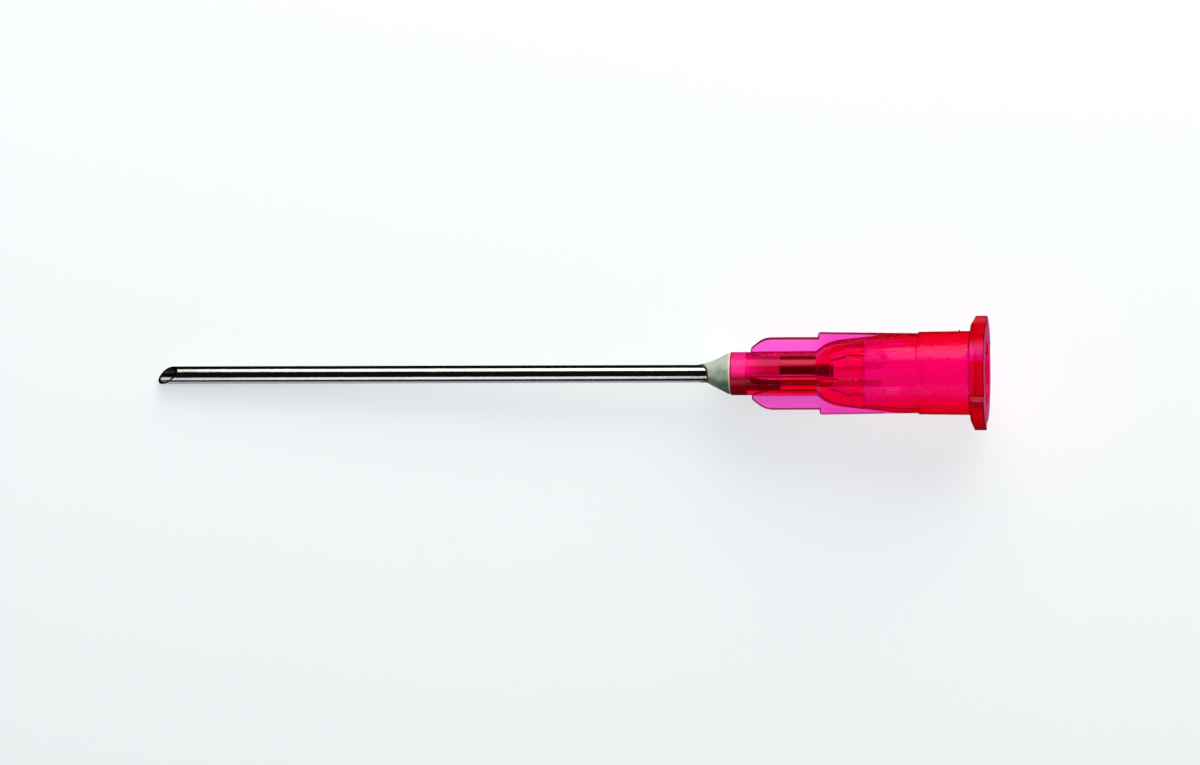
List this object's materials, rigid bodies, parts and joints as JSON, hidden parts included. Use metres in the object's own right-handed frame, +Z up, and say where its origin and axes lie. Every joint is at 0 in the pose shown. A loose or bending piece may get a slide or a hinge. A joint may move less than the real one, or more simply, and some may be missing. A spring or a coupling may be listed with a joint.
{
  "type": "drawing-up needle",
  "caption": "Blunt steel cannula with a short bevel, glued into a moulded translucent red hub with fins, a Luer socket and a lugged flange.",
  "frame": {"origin": "bottom centre of the bounding box, on the surface that the needle lies on", "axes": "the needle lies along X, with the hub at +X and the point at -X; +Z is up"},
  "size_m": [0.0566, 0.0078, 0.0068],
  "materials": {
    "cannula_steel": "bright drawn stainless steel",
    "hub_plastic": "glossy translucent moulded plastic, magenta red",
    "cured_adhesive": "cured epoxy, satin, pale grey-green"
  },
  "bodies": {
    "root": {"cannula": "cannula_steel", "hub": "hub_plastic", "adhesive": "cured_adhesive"}
  },
  "joints": []
}
